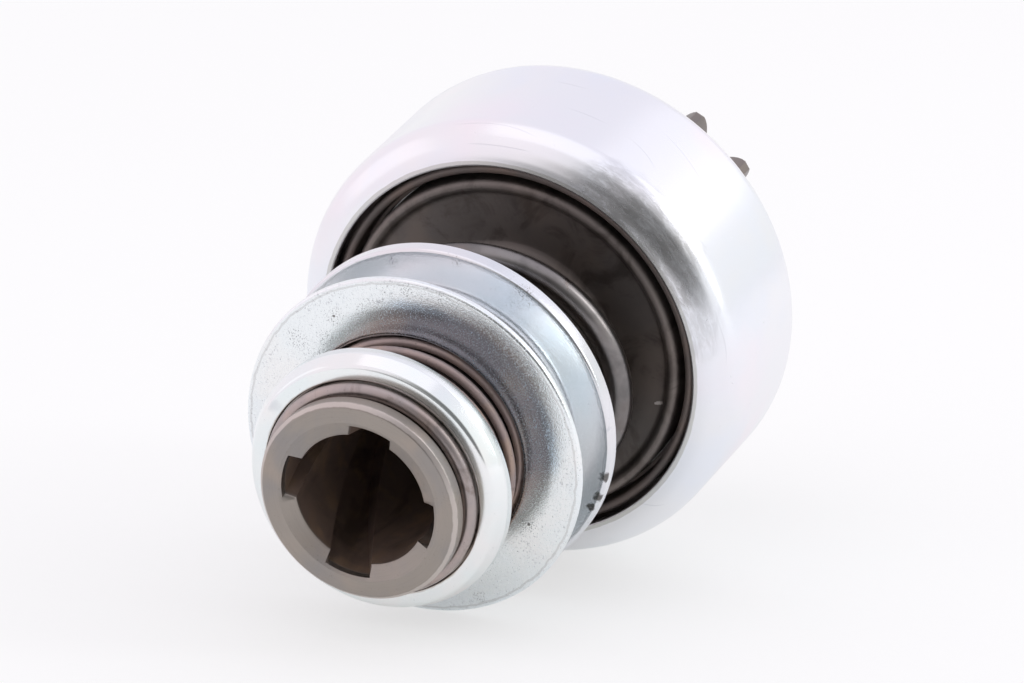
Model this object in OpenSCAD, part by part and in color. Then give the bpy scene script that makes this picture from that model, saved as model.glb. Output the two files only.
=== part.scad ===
// Starter drive: a splined sleeve with a shift spool, a roller clutch in a pressed shell, and a pinion.
// Every piece is turned round the drive's axis and laid along +X, from the sleeve's open end to the pinion.

/* [Sleeve] */
// Outer radius of the splined sleeve
sleeve_r = 15.2; // [14:0.1:16.4]
// Radius of the splined bore between its grooves
bore_r = 10; // [8.6:0.1:11]
// Depth of a spline groove
spline_depth = 1.7; // [1:0.1:2]
// Width of a spline groove
spline_w = 6.4; // [5:0.1:7.5]
// Number of spline grooves
spline_count = 4; // [3:1:5]
// Lead of the spline helix
spline_lead = 150; // [110:5:250]
// Length of the lead-in cone at the open end
mouth_len = 1; // [0.6:0.1:2]
// Radial width of the lead-in cone
mouth_w = 2.3; // [1.6:0.1:2.6]
// Bevel round the open end
end_bevel = 0.7; // [0.3:0.1:1.2]
// Land between the open end and the lock ring groove
end_land = 2.6; // [2:0.1:4]
// Fillet where the sleeve runs into the driver disc
disc_fillet = 1.6; // [0.8:0.1:2.4]
// Gap between the driver disc's edge and the shell's lip
disc_gap = 2.7; // [2.4:0.1:3.6]
// Thickness of the driver disc
disc_t = 7.7; // [6.5:0.1:10]
// Height of the raised rim round the driver disc's face
disc_rim = 1.1; // [0.6:0.1:1.6]
// Rounding of that rim
disc_round = 0.9; // [0.5:0.1:1]

/* [Lock ring and stop cup] */
// Wire radius of the lock ring
lock_wire_r = 1.1; // [0.8:0.05:1.4]
// Play of the lock ring in its groove, in front of the wire
lock_play = 1; // [0.4:0.1:1.6]
// Gap between the return spring and the stop cup's rim
cup_gap = 1.5; // [0.8:0.05:2.2]
// Length of the stop cup
cup_len = 4.3; // [3.8:0.1:5.5]
// Bevel of the stop cup's front edge, across the axis
cup_bevel = 1; // [0.5:0.1:1.3]
// Length of that bevel along the axis
cup_bevel_len = 2.25; // [1:0.05:2.6]
// Depth of the cup's seat over the lock ring
cup_seat = 0.75; // [0.4:0.05:1]
// Thickness of the cup's web
cup_web = 1.75; // [1.2:0.05:2.2]
// Thickness of the cup's rim wall
cup_wall = 1.3; // [1:0.1:1.4]

/* [Shift spool] */
// Distance from the sleeve's open end to the spool's front face
spool_x = 18.5; // [16:0.5:22]
// Radius of both spool flanges
flange_r = 26; // [24.5:0.5:28]
// Sheet thickness of the front flange and the hub
spool_sheet = 1.5; // [1.2:0.1:2]
// Width of the fork groove between the flanges
fork_gap = 9.1; // [8:0.1:12]
// Thickness of the rear flange
rear_flange_t = 2.7; // [2:0.1:3.5]
// Gap between the return spring and the spool's hub
hub_gap = 0.3; // [0.3:0.05:1]
// Rounding of the hub's mouth
mouth_round = 0.7; // [0.2:0.05:1]
// Fillet between the front flange and the hub
hub_fillet = 1.5; // [0.8:0.1:2.5]
// Fillet between the hub and the rear flange
groove_fillet = 2.6; // [1:0.2:3]
// Depth of the rear flange's dished face
rear_dish = 0.4; // [0:0.05:0.8]
// Rounding of the flanges' edges
rim_round = 0.45; // [0.2:0.05:0.5]
// Length of the guide bush
guide_len = 3; // [2:0.25:5]

/* [Springs] */
// Wire radius of the return spring
return_wire_r = 0.7; // [0.6:0.05:0.9]
// Gap between the sleeve and the return spring
return_gap = 0.3; // [0.3:0.05:0.8]
// Working turns of the return spring
return_turns = 5.4; // [4:0.1:6.4]
// Wire radius of the buffer spring
buffer_wire_r = 2; // [1.6:0.1:2.2]
// Gap between the sleeve and the buffer spring
buffer_gap = 2.5; // [2:0.1:3]
// Room for the buffer spring between the spool and the driver disc
buffer_room = 22.5; // [20:0.5:26]
// Wire radius of the plunger springs
plunger_wire_r = 0.28; // [0.2:0.02:0.34]

/* [Clutch] */
// Outer radius of the shell
shell_r = 34.4; // [33.2:0.1:36]
// Wall of the shell
shell_wall = 1.9; // [1.5:0.1:2.3]
// Rounding of the shell's rolled front lip
lip_round = 5.4; // [4.4:0.1:5.8]
// Rounding of the shell's rear corner
rear_round = 3.5; // [2.5:0.25:3.75]
// Step from the driver disc's face back to the closing ring
disc_step = 3.3; // [2.6:0.1:4]
// Thickness of the closing ring
closing_t = 1.8; // [1.4:0.1:2.4]
// Radius of the pinion's race under the rollers
race_r = 14.6; // [14:0.1:15.2]
// Radius of a roller
roller_r = 4.2; // [3.8:0.1:4.5]
// Length of a roller
roller_len = 13.4; // [10:0.2:16]
// Angle that a roller gives way when the pinion overruns
roller_shift = 5; // [3:0.5:6]
// Radius of a plunger
plunger_r = 2.15; // [1.9:0.05:2.4]
// Length of a plunger's head
plunger_len = 6.1; // [5:0.1:7]
// Working length of a plunger's spring
plunger_spring_len = 6.7; // [6:0.1:7.5]
// Thickness of the spacer ring and the split thrust washer
washer_t = 2.1; // [1.6:0.1:3]
// Lap of the split thrust washer over the shell's floor
washer_lap = 2.8; // [2:0.1:3.6]

/* [Pinion] */
// Number of pinion teeth
tooth_count = 11; // [10:1:12]
// Gear module of the pinion
tooth_module = 2.75; // [2.6:0.05:2.9]
// Profile shift of the pinion, in modules
tooth_shift = 0.23; // [0.1:0.01:0.35]
// Length of the teeth
tooth_len = 22.6; // [16:0.1:28]
// Distance from the shell to the teeth
neck_len = 3.4; // [2:0.2:8]
// Radius of the pinion's neck
neck_r = 13.1; // [12.7:0.1:13.5]
// Radius of the armature shaft's journal in the bushes
shaft_r = 8; // [7.4:0.1:8.2]
// Wall of the bearing bushes
bush_wall = 1.6; // [1.2:0.1:1.8]
// Length of each bearing bush
bush_len = 13; // [9:0.5:16]

/* [Hidden] */
$fn = 96;

// Clearances
running_gap = 0.05;
seat_gap = 0.1;
roll_gap = 0.15;
free_gap = 0.3;
cut = 1;

// Turn of the grooves, the spring starts and the teeth round the axis
spline_phase = 11.6;
lock_gap_phase = 20;
return_phase = 187;
buffer_phase = 133.6;
tooth_phase = 14.1;

// Stations along the axis, from the sleeve's open end
wire_x = end_land + lock_play + lock_wire_r;
cup_floor_x = wire_x + lock_wire_r;
cup_face_x = cup_floor_x - cup_seat;
cup_rear_x = cup_face_x + cup_len;
cup_recess_x = cup_floor_x + cup_web;
fork_x = spool_x + spool_sheet;
rear_flange_x = fork_x + fork_gap;
spool_rear_x = rear_flange_x + rear_flange_t;
guide_x = spool_rear_x - guide_len;
disc_x = spool_rear_x + buffer_room;
closing_x = disc_x + disc_step;
cam_x = closing_x + closing_t;
disc_rear_x = max(disc_x + disc_t, cam_x + cut);
race_x = disc_rear_x + 2 * free_gap;
roller_x = disc_rear_x + free_gap;
cam_rear_x = roller_x + roller_len + free_gap;
race_rear_x = cam_rear_x - seat_gap;
shell_floor_x = cam_rear_x + washer_t;
shell_rear_x = shell_floor_x + shell_wall;
shell_front_x = closing_x - lip_round;
tooth_x = shell_rear_x + neck_len;
nose_x = tooth_x + tooth_len;
plunger_x = roller_x + roller_len / 2;

// Radii that follow from the driving sizes
mouth_r = bore_r + mouth_w;
groove_r = sleeve_r - lock_wire_r;
lock_outer_r = sleeve_r + lock_wire_r;
cup_seat_r = lock_outer_r + 2 * seat_gap;
cup_bore_r = sleeve_r + seat_gap;
return_mean_r = sleeve_r + return_gap + return_wire_r;
return_r = return_mean_r + return_wire_r;
cup_recess_r = return_r + cup_gap;
cup_r = cup_recess_r + cup_wall;
hub_bore_r = return_r + hub_gap;
hub_r = hub_bore_r + spool_sheet;
guide_r = sleeve_r + running_gap;
buffer_mean_r = sleeve_r + buffer_wire_r + buffer_gap;
shell_bore_r = shell_r - shell_wall;
inner_r = shell_bore_r - seat_gap;
lip_edge_r = shell_r - lip_round;
disc_r = lip_edge_r - disc_gap;
rim_foot_r = disc_r - 2 * disc_round - disc_rim / 2;
cam_bore_r = race_r + free_gap;
roller_path_r = race_r + roll_gap + roller_r;
pocket_r = roller_r + free_gap;
wide_pocket_r = pocket_r + free_gap;
shift_len = roller_path_r * sin(roller_shift);
plunger_tip = roller_r + roll_gap;
plunger_seat = plunger_tip + plunger_len;
plunger_bore_end = plunger_seat + plunger_spring_len;
pitch_r = tooth_module * tooth_count / 2;
tip_r = pitch_r + tooth_module * (1 + tooth_shift);
root_r = pitch_r - tooth_module * (1.25 - tooth_shift);
base_r = pitch_r * cos(20);
flank_start_r = max(root_r, base_r);
bush_r = shaft_r + bush_wall;
neck_bore_r = neck_r + free_gap;
shell_hole_r = tip_r + 2 * free_gap;
half_ring_r = shell_hole_r + washer_lap;
roller_count = 4;
lip_sweep = 84;

// Geometry helpers: profiles are [radius, station] pairs
function arc(centre, r, from, to, steps = 8) =
    [for (i = [0:steps]) let (a = from + (to - from) * i / steps) centre + r * [cos(a), sin(a)]];

module laid() rotate([0, 90, 0]) children();

module turned(profile) laid() rotate_extrude() polygon(profile);

module at_roller(k) laid() rotate([0, 0, 360 * k / roller_count]) children();

// A round wire wound about the axis: turn angles, and the station reached at each of them
module coil(mean_r, wire_r, angles, stations, sides) {
    last = len(angles) - 1;
    rings = [for (i = [0:last]) let (
            before = max(i - 1, 0),
            after = min(i + 1, last),
            run = mean_r * (angles[after] - angles[before]) * PI / 180,
            slope = atan2(stations[after] - stations[before], run),
            out = [cos(angles[i]), sin(angles[i]), 0],
            side = [sin(angles[i]) * sin(slope), -cos(angles[i]) * sin(slope), cos(slope)])
        for (j = [0:sides - 1]) let (a = 360 * j / sides)
            mean_r * out + [0, 0, stations[i]] + wire_r * (cos(a) * out + sin(a) * side)];
    walls = [for (i = [0:last - 1]) for (j = [0:sides - 1]) let (
            a = i * sides + j,
            b = i * sides + (j + 1) % sides)
        each [[a, a + sides, b], [b, a + sides, b + sides]]];
    start = [for (j = [0:sides - 1]) j];
    end = [for (j = [0:sides - 1]) last * sides + sides - 1 - j];
    polyhedron(rings, concat([start], walls, [end]), convexity = 10);
}

// Share of the rise reached after a turn: a closed first turn, the working turns, and a flat end
function rise(turn, closed, working, closed_rise, total) =
    turn < closed ? closed_rise * turn / closed
    : min(total, closed_rise + (total - closed_rise) * (turn - closed) / working);

// Involute flank of a tooth: angle from the tooth's middle at a radius
function flank_angle(r) =
    let (
        half = 90 / tooth_count + 2 * tooth_shift * tan(20) / tooth_count * 180 / PI,
        roll = r > base_r ? acos(base_r / r) : 0)
    half + (tan(20) * 180 / PI - 20) - (tan(roll) * 180 / PI - roll);

function polar(r, a) = r * [cos(a), sin(a)];

function tooth(middle, steps = 6) =
    let (radii = [for (i = [0:steps]) flank_start_r + (tip_r - flank_start_r) * i / steps])
    concat(
        [polar(root_r, middle - flank_angle(flank_start_r))],
        [for (r = radii) polar(r, middle - flank_angle(r))],
        [for (i = [steps:-1:0]) polar(radii[i], middle + flank_angle(radii[i]))],
        [polar(root_r, middle + flank_angle(flank_start_r))]);

// Splined sleeve with its driver disc
module spline_groove() {
    half = asin(spline_w / 2 / (bore_r + spline_depth));
    floor_arc = arc([0, 0], bore_r + spline_depth, -half, half, 4);
    translate([0, 0, -cut])
        linear_extrude(height = disc_rear_x + 2 * cut, twist = -360 * (disc_rear_x + 2 * cut) / spline_lead,
                slices = 24, $fn = 8)
            polygon(concat([[bore_r - 2, -spline_w / 2]], floor_arc, [[bore_r - 2, spline_w / 2]]));
}

module splined_sleeve() color([0.42, 0.40, 0.38]) difference() {
    turned(concat(
        [[mouth_r, 0], [sleeve_r - end_bevel, 0], [sleeve_r, end_bevel], [sleeve_r, end_land],
            [groove_r, end_land], [groove_r, cup_floor_x + seat_gap], [sleeve_r, cup_floor_x + seat_gap]],
        arc([sleeve_r + disc_fillet, disc_x - disc_fillet], disc_fillet, 180, 90, 4),
        [[rim_foot_r, disc_x]],
        arc([disc_r - disc_round, disc_x - disc_rim + disc_round], disc_round, -150, 0, 7),
        [[disc_r, disc_rear_x], [bore_r, disc_rear_x], [bore_r, mouth_len]]));
    laid() for (k = [0:spline_count - 1])
        rotate([0, 0, spline_phase + 360 * k / spline_count]) spline_groove();
}

// Lock ring and stop cup
module lock_ring() color([0.58, 0.53, 0.50]) laid()
    rotate([0, 0, lock_gap_phase]) rotate_extrude(angle = 350)
        translate([sleeve_r, wire_x]) circle(lock_wire_r);

module stop_cup() color([0.80, 0.82, 0.84]) turned(
    [[cup_seat_r, cup_face_x], [cup_r - cup_bevel, cup_face_x], [cup_r, cup_face_x + cup_bevel_len],
        [cup_r, cup_rear_x], [cup_recess_r, cup_rear_x], [cup_recess_r, cup_recess_x],
        [cup_bore_r, cup_recess_x], [cup_bore_r, cup_floor_x], [cup_seat_r, cup_floor_x]]);

// Springs on the sleeve
module return_spring() {
    room = guide_x - cup_recess_x - 2 * return_wire_r - seat_gap;
    end_rise = 2 * return_wire_r + running_gap;
    turns = return_turns + 2;
    angles = [for (i = [0:18 * turns]) 20 * i];
    color([0.45, 0.38, 0.35]) laid() rotate([0, 0, return_phase])
        coil(return_mean_r, return_wire_r, angles,
            [for (a = angles) let (t = a / 360) cup_recess_x + return_wire_r + seat_gap / 2
                + (t < turns - 1 ? rise(t, 1, return_turns, end_rise, room - end_rise)
                    : room - end_rise * (turns - t))], 8);
}

module buffer_spring() {
    room = buffer_room - 2 * buffer_wire_r - seat_gap;
    angles = [for (i = [0:40]) 16 * i];
    color([0.30, 0.29, 0.29]) laid() rotate([0, 0, buffer_phase])
        coil(buffer_mean_r, buffer_wire_r, angles,
            [for (a = angles) spool_rear_x + buffer_wire_r + seat_gap / 2
                + rise(a / 360, 1, 0.64, 2.45 * buffer_wire_r, room)], 10);
}

// Shift spool
module spool_front_flange() color([0.80, 0.82, 0.84]) turned(concat(
    arc([hub_bore_r + mouth_round, spool_x + mouth_round], mouth_round, 180, 270, 4),
    arc([flange_r - rim_round, spool_x + rim_round], rim_round, -90, 0, 3),
    arc([flange_r - rim_round, fork_x - rim_round], rim_round, 0, 90, 3),
    arc([hub_r + hub_fillet, fork_x + hub_fillet], hub_fillet, 270, 180, 5),
    [[hub_r, spool_rear_x], [hub_bore_r, spool_rear_x]]));

module spool_rear_flange() {
    dish_x = rear_flange_x + rear_dish;
    color([0.80, 0.82, 0.84]) turned(concat(
        [[hub_r, spool_rear_x]],
        arc([hub_r + groove_fillet, dish_x - groove_fillet], groove_fillet, 180, 90, 5),
        arc([flange_r - rim_round, rear_flange_x + rim_round], rim_round, -90, 0, 3),
        arc([flange_r - rim_round, spool_rear_x - rim_round], rim_round, 0, 90, 3)));
}

module spool_guide_bush() color([0.62, 0.50, 0.30])
    turned([[guide_r, guide_x], [hub_bore_r, guide_x], [hub_bore_r, spool_rear_x], [guide_r, spool_rear_x]]);

// Clutch housing
module closing_ring() {
    bead_r = (disc_r + lip_edge_r) / 2 + 2 * seat_gap;
    bead = 0.25 * disc_gap;
    color([0.40, 0.36, 0.33]) turned(concat(
        [[disc_r + 2 * seat_gap, cam_x], [disc_r + 2 * seat_gap, closing_x], [bead_r - bead, closing_x]],
        arc([bead_r, disc_x - 0.7 * disc_rim + bead], bead, 180, 360, 8),
        [[bead_r + bead, closing_x], [inner_r, closing_x], [inner_r, cam_x]]));
}

module clutch_shell() {
    corner = max(rear_round - shell_wall, free_gap);
    color([0.80, 0.82, 0.84]) turned(concat(
        [[lip_edge_r, shell_front_x + 0.5]],
        arc([lip_edge_r, closing_x], lip_round, -lip_sweep, 0, 9),
        arc([shell_r - rear_round, shell_rear_x - rear_round], rear_round, 0, 90, 7),
        [[shell_hole_r, shell_rear_x], [shell_hole_r, shell_floor_x]],
        arc([shell_bore_r - corner, shell_floor_x - corner], corner, 90, 0, 6),
        arc([lip_edge_r, closing_x], lip_round - shell_wall, 0, -90, 7)));
}

module cam_ring() color([0.46, 0.45, 0.44]) difference() {
    turned([[disc_r, cam_x], [inner_r, cam_x], [inner_r, cam_rear_x], [cam_bore_r, cam_rear_x],
        [cam_bore_r, disc_rear_x], [disc_r, disc_rear_x]]);
    for (k = [0:roller_count - 1]) at_roller(k) {
        translate([0, 0, disc_rear_x - cut]) linear_extrude(cam_rear_x - disc_rear_x + 2 * cut) {
            translate([roller_path_r, 0]) circle(pocket_r);
            translate([roller_path_r + free_gap / 2, -shift_len - free_gap]) circle(wide_pocket_r);
            polygon([[cam_bore_r - cut, 0], [roller_path_r + pocket_r, 0],
                [roller_path_r + wide_pocket_r + free_gap / 2, -shift_len - free_gap],
                [cam_bore_r - cut, -shift_len - free_gap]]);
        }
        along_plunger() translate([0, 0, roller_r])
            cylinder(r = plunger_r + running_gap, h = plunger_bore_end - roller_r);
    }
}

module spacer_ring() {
    corner = max(rear_round - shell_wall, free_gap);
    color([0.46, 0.45, 0.44]) turned([[half_ring_r + seat_gap, cam_rear_x], [inner_r, cam_rear_x],
        [inner_r, shell_floor_x - corner], [inner_r - corner, shell_floor_x],
        [half_ring_r + seat_gap, shell_floor_x]]);
}

module half_ring(side) color([0.46, 0.45, 0.44]) difference() {
    turned([[neck_bore_r, cam_rear_x + seat_gap], [half_ring_r, cam_rear_x + seat_gap],
        [half_ring_r, shell_floor_x - running_gap], [neck_bore_r, shell_floor_x - running_gap]]);
    laid() translate([-2 * shell_r, side > 0 ? -4 * shell_r + seat_gap : -seat_gap, 0])
        cube([4 * shell_r, 4 * shell_r, 2 * nose_x]);
}

module half_ring_1() half_ring(1);
module half_ring_2() half_ring(-1);

module dust_seal() color([0.22, 0.21, 0.20])
    turned([[neck_bore_r, shell_floor_x + running_gap], [shell_hole_r - running_gap, shell_floor_x + running_gap],
        [shell_hole_r - running_gap, shell_rear_x - seat_gap], [neck_bore_r, shell_rear_x - seat_gap]]);

// Pinion
module pinion_gear() color([0.50, 0.49, 0.48]) difference() {
    union() {
        turned([[0, race_x], [race_r - 0.6, race_x], [race_r, race_x + 0.6], [race_r, race_rear_x],
            [neck_r, race_rear_x], [neck_r, tooth_x + 0.5], [0, tooth_x + 0.5]]);
        intersection() {
            laid() translate([0, 0, tooth_x]) linear_extrude(tooth_len)
                polygon([for (k = [0:tooth_count - 1]) each tooth(tooth_phase + 360 * k / tooth_count)]);
            turned([[0, tooth_x - cut], [tip_r - 0.8, tooth_x], [tip_r + cut, tooth_x + cut + 0.8],
                [tip_r + cut, nose_x - cut - 1.2], [tip_r - 1.2, nose_x], [0, nose_x + cut]]);
        }
    }
    turned([[0, race_x - cut], [bush_r, race_x - cut], [bush_r, nose_x + cut], [0, nose_x + cut]]);
}

module bush(from) color([0.66, 0.52, 0.30])
    turned([[shaft_r, from], [bush_r, from], [bush_r, from + bush_len], [shaft_r, from + bush_len]]);

module race_bush() bush(race_x);
module nose_bush() bush(nose_x - bush_len);

// Rollers, plungers and their springs: a plunger's own Z runs from the roller's middle to the spring's seat
module along_plunger() translate([roller_path_r, 0, plunger_x]) rotate([90, 0, 0]) children();

module roller(k) color([0.62, 0.62, 0.62]) at_roller(k) translate([roller_path_r, 0, roller_x])
    rotate_extrude() polygon([[0, 0], [roller_r - 0.4, 0], [roller_r, 0.4], [roller_r, roller_len - 0.4],
        [roller_r - 0.4, roller_len], [0, roller_len]]);

module roller_1() roller(0);
module roller_2() roller(1);
module roller_3() roller(2);
module roller_4() roller(3);

module plunger(k) color([0.55, 0.54, 0.52]) at_roller(k) along_plunger()
    rotate_extrude() polygon([[0, plunger_tip], [plunger_r - 0.3, plunger_tip], [plunger_r, plunger_tip + 0.3],
        [plunger_r, plunger_seat], [0.42 * plunger_r, plunger_seat],
        [0.42 * plunger_r, plunger_seat + plunger_spring_len / 2], [0, plunger_seat + plunger_spring_len / 2]]);

module plunger_1() plunger(0);
module plunger_2() plunger(1);
module plunger_3() plunger(2);
module plunger_4() plunger(3);

module plunger_spring(k) {
    room = plunger_spring_len - 2 * plunger_wire_r - seat_gap;
    angles = [for (i = [0:60]) 30 * i];
    color([0.60, 0.58, 0.54]) at_roller(k) along_plunger()
        coil(0.7 * plunger_r, plunger_wire_r, angles,
            [for (a = angles) plunger_seat + plunger_wire_r + seat_gap / 2 + room * a / 1800], 6);
}

module plunger_spring_1() plunger_spring(0);
module plunger_spring_2() plunger_spring(1);
module plunger_spring_3() plunger_spring(2);
module plunger_spring_4() plunger_spring(3);

splined_sleeve();
lock_ring();
stop_cup();
return_spring();
spool_front_flange();
spool_rear_flange();
spool_guide_bush();
buffer_spring();
closing_ring();
clutch_shell();
cam_ring();
spacer_ring();
half_ring_1();
half_ring_2();
dust_seal();
pinion_gear();
race_bush();
nose_bush();
roller_1();
roller_2();
roller_3();
roller_4();
plunger_1();
plunger_2();
plunger_3();
plunger_4();
plunger_spring_1();
plunger_spring_2();
plunger_spring_3();
plunger_spring_4();
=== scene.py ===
import math
import bpy
import numpy as np
from mathutils import Matrix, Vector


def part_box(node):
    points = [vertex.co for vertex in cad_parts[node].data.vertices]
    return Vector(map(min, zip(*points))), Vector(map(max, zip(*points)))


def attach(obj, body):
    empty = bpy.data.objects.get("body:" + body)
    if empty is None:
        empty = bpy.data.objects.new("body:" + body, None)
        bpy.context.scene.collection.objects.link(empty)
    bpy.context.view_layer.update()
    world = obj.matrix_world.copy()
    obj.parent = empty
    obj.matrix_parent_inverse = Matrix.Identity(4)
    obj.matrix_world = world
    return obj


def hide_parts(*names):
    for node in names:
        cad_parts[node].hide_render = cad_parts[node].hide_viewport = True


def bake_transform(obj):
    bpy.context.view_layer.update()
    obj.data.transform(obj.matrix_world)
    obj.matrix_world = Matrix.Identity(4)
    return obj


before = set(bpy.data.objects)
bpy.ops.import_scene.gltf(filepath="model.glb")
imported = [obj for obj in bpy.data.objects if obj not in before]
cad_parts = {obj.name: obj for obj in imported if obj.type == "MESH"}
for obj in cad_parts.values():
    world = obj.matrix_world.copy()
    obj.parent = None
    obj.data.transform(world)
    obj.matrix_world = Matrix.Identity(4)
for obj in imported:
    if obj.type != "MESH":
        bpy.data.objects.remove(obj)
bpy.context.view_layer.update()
mm = 0.001
print("frame loaded:", len(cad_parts), "nodes")


# Mesh tools. Every turned piece lies along X: a point is (x, r sin a, -r cos a), as in the CAD.

def around(station, radius, angle):
    return np.stack(np.broadcast_arrays(station, radius * np.sin(angle), -radius * np.cos(angle)), -1)


def roundCorners(corners, radii, steps=5):
    # each corner becomes an arc tangent to both of its sides:
    # centre = corner + bisector * radius / sin(half angle)
    point = np.asarray(corners, float)
    bend = np.asarray(radii, float)[:, None]
    back = np.roll(point, 1, axis=0) - point
    ahead = np.roll(point, -1, axis=0) - point
    back /= np.linalg.norm(back, axis=1, keepdims=True)
    ahead /= np.linalg.norm(ahead, axis=1, keepdims=True)
    half = np.arccos(np.clip((back * ahead).sum(1, keepdims=True), -1, 1)) / 2
    middle = back + ahead
    middle /= np.maximum(np.linalg.norm(middle, axis=1, keepdims=True), 1e-9)
    centre = point + middle * bend / np.sin(half)
    first = point + back * bend / np.tan(half) - centre
    last = point + ahead * bend / np.tan(half) - centre
    turn = np.arctan2(first[:, 0] * last[:, 1] - first[:, 1] * last[:, 0], (first * last).sum(1))[:, None]
    angle = np.arctan2(first[:, 1], first[:, 0])[:, None] + turn * np.linspace(0, 1, steps + 1)
    arcs = centre[:, None, :] + bend[:, :, None] * np.stack([np.cos(angle), np.sin(angle)], -1)
    return arcs.reshape(-1, 2)


def fillIn(profile, longest):
    # extra points along a closed profile, so that no side is longer than the given length
    closed = np.vstack([profile, profile[:1]])
    run = np.concatenate([[0], np.cumsum(np.linalg.norm(np.diff(closed, axis=0), axis=1))])
    places = np.unique(np.round(np.concatenate([run[:-1], np.arange(0, run[-1], longest)]), 6))
    return np.stack([np.interp(places, run, closed[:, 0]), np.interp(places, run, closed[:, 1])], -1)


def gridFaces(rows, cols, loopRows=True, loopCols=True):
    i = np.arange(rows if loopRows else rows - 1)[:, None]
    j = np.arange(cols if loopCols else cols - 1)[None, :]
    below, beside = (i + 1) % rows * cols, (j + 1) % cols
    return np.stack([i * cols + j, i * cols + beside, below + beside, below + j], -1).reshape(-1, 4)


def makePiece(name, points, faces, caps=(), sharp=38):
    # a closed surface from a grid of points; its faces are turned outwards by the sign of its volume
    place = points.reshape(-1, 3) * mm
    corner = place[faces]
    volume = np.einsum("ij,ij->", corner[:, 0], np.cross(corner[:, 1], corner[:, 2])) \
        + np.einsum("ij,ij->", corner[:, 0], np.cross(corner[:, 2], corner[:, 3]))
    lists = faces.tolist() + [list(cap) for cap in caps]
    if volume < 0:
        lists = [face[::-1] for face in lists]
    mesh = bpy.data.meshes.new(name)
    mesh.from_pydata(place.tolist(), [], lists)
    mesh.polygons.foreach_set("use_smooth", np.ones(len(lists), bool))
    mesh.set_sharp_from_angle(angle=math.radians(sharp))
    mesh.update()
    piece = bpy.data.objects.new(name, mesh)
    bpy.context.scene.collection.objects.link(piece)
    return piece


def turnedPiece(name, corners, radii, steps=5, columns=224, longest=4.0):
    # P(u, a) = (x(u), r(u) sin a, -r(u) cos a) with the rounded profile r(u), x(u)
    profile = fillIn(roundCorners(corners, radii, steps), longest)
    angle = np.linspace(0, 2 * np.pi, columns, endpoint=False)[None, :]
    points = around(profile[:, 1:2] + 0 * angle, profile[:, 0:1], angle)
    return makePiece(name, points, gridFaces(len(profile), columns))


def wirePiece(name, meanRadius, wireRadius, angle, station, sides=20, turn=np.eye(3), shift=(0, 0, 0)):
    # a round wire wound about X, then turned and shifted:
    # P(s, t) = path(s) + w (cos t out(s) + sin t side(s))
    path = around(station, meanRadius, angle)
    out = around(0 * angle, 1.0, angle)
    along = np.gradient(path, axis=0)
    along /= np.linalg.norm(along, axis=1, keepdims=True)
    side = np.cross(along, out)
    side /= np.linalg.norm(side, axis=1, keepdims=True)
    out = np.cross(side, along)
    t = np.linspace(0, 2 * np.pi, sides, endpoint=False)[None, :, None]
    girth = np.broadcast_to(np.asarray(wireRadius, float), angle.shape)[:, None, None]
    points = path[:, None] + girth * (np.cos(t) * out[:, None] + np.sin(t) * side[:, None])
    points = points @ turn + np.array(shift)
    rows = len(angle)
    caps = [list(range(sides))[::-1], [(rows - 1) * sides + k for k in range(sides)]]
    return makePiece(name, points, gridFaces(rows, sides, loopRows=False), caps)


def setMaterial(piece, material):
    piece.data.materials.clear()
    piece.data.materials.append(material)


def finishPiece(piece, body, slotName, material, *nodes):
    setMaterial(piece, material)
    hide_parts(*nodes)
    if body:
        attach(piece, body)


# Shader tools

def put(tree, kind, **values):
    node = tree.nodes.new("ShaderNode" + kind)
    for name, value in values.items():
        setattr(node, name, value)
    return node


def feed(tree, value, socket):
    if isinstance(value, bpy.types.NodeSocket):
        tree.links.new(value, socket)
    else:
        socket.default_value = value


def calc(tree, operation, first, second=0.0, clamp=False):
    node = put(tree, "Math", operation=operation, use_clamp=clamp)
    feed(tree, first, node.inputs[0])
    feed(tree, second, node.inputs[1])
    return node.outputs[0]


def times(tree, first, second, clamp=False):
    return calc(tree, "MULTIPLY", first, second, clamp)


def plus(tree, first, second):
    return calc(tree, "ADD", first, second)


def minus(tree, first, second):
    return calc(tree, "SUBTRACT", first, second)


def remap(tree, value, low, high, toLow=0.0, toHigh=1.0):
    node = put(tree, "MapRange", interpolation_type="SMOOTHSTEP")
    for socket, number in zip(node.inputs, (value, low, high, toLow, toHigh)):
        feed(tree, number, socket)
    return node.outputs[0]


def blendColour(tree, amount, first, second, kind="MIX"):
    node = put(tree, "Mix", data_type="RGBA", blend_type=kind)
    feed(tree, amount, node.inputs[0])
    feed(tree, first, node.inputs[6])
    feed(tree, second, node.inputs[7])
    return node.outputs[2]


def newGroup(name, inputs, outputs):
    tree = bpy.data.node_groups.new(name, "ShaderNodeTree")
    for label, kind, value in inputs:
        socket = tree.interface.new_socket(name=label, in_out="INPUT", socket_type="NodeSocket" + kind)
        socket.default_value = value
    for label, kind in outputs:
        tree.interface.new_socket(name=label, in_out="OUTPUT", socket_type="NodeSocket" + kind)
    return tree, tree.nodes.new("NodeGroupInput").outputs, tree.nodes.new("NodeGroupOutput").inputs


def useGroup(tree, group, **values):
    node = put(tree, "Group", node_tree=group)
    for name, value in values.items():
        feed(tree, value, node.inputs[name])
    return node.outputs


def noise(tree, vector, scale, detail=3.0, rough=0.55, distortion=0.0):
    node = put(tree, "TexNoise")
    feed(tree, vector, node.inputs["Vector"])
    values = {"Scale": scale, "Detail": detail, "Roughness": rough, "Distortion": distortion}
    for label, value in values.items():
        feed(tree, value, node.inputs[label])
    return node.outputs["Fac"]


def packVector(tree, x, y, z):
    node = put(tree, "CombineXYZ")
    for socket, value in zip(node.inputs, (x, y, z)):
        feed(tree, value, socket)
    return node.outputs[0]


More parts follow.
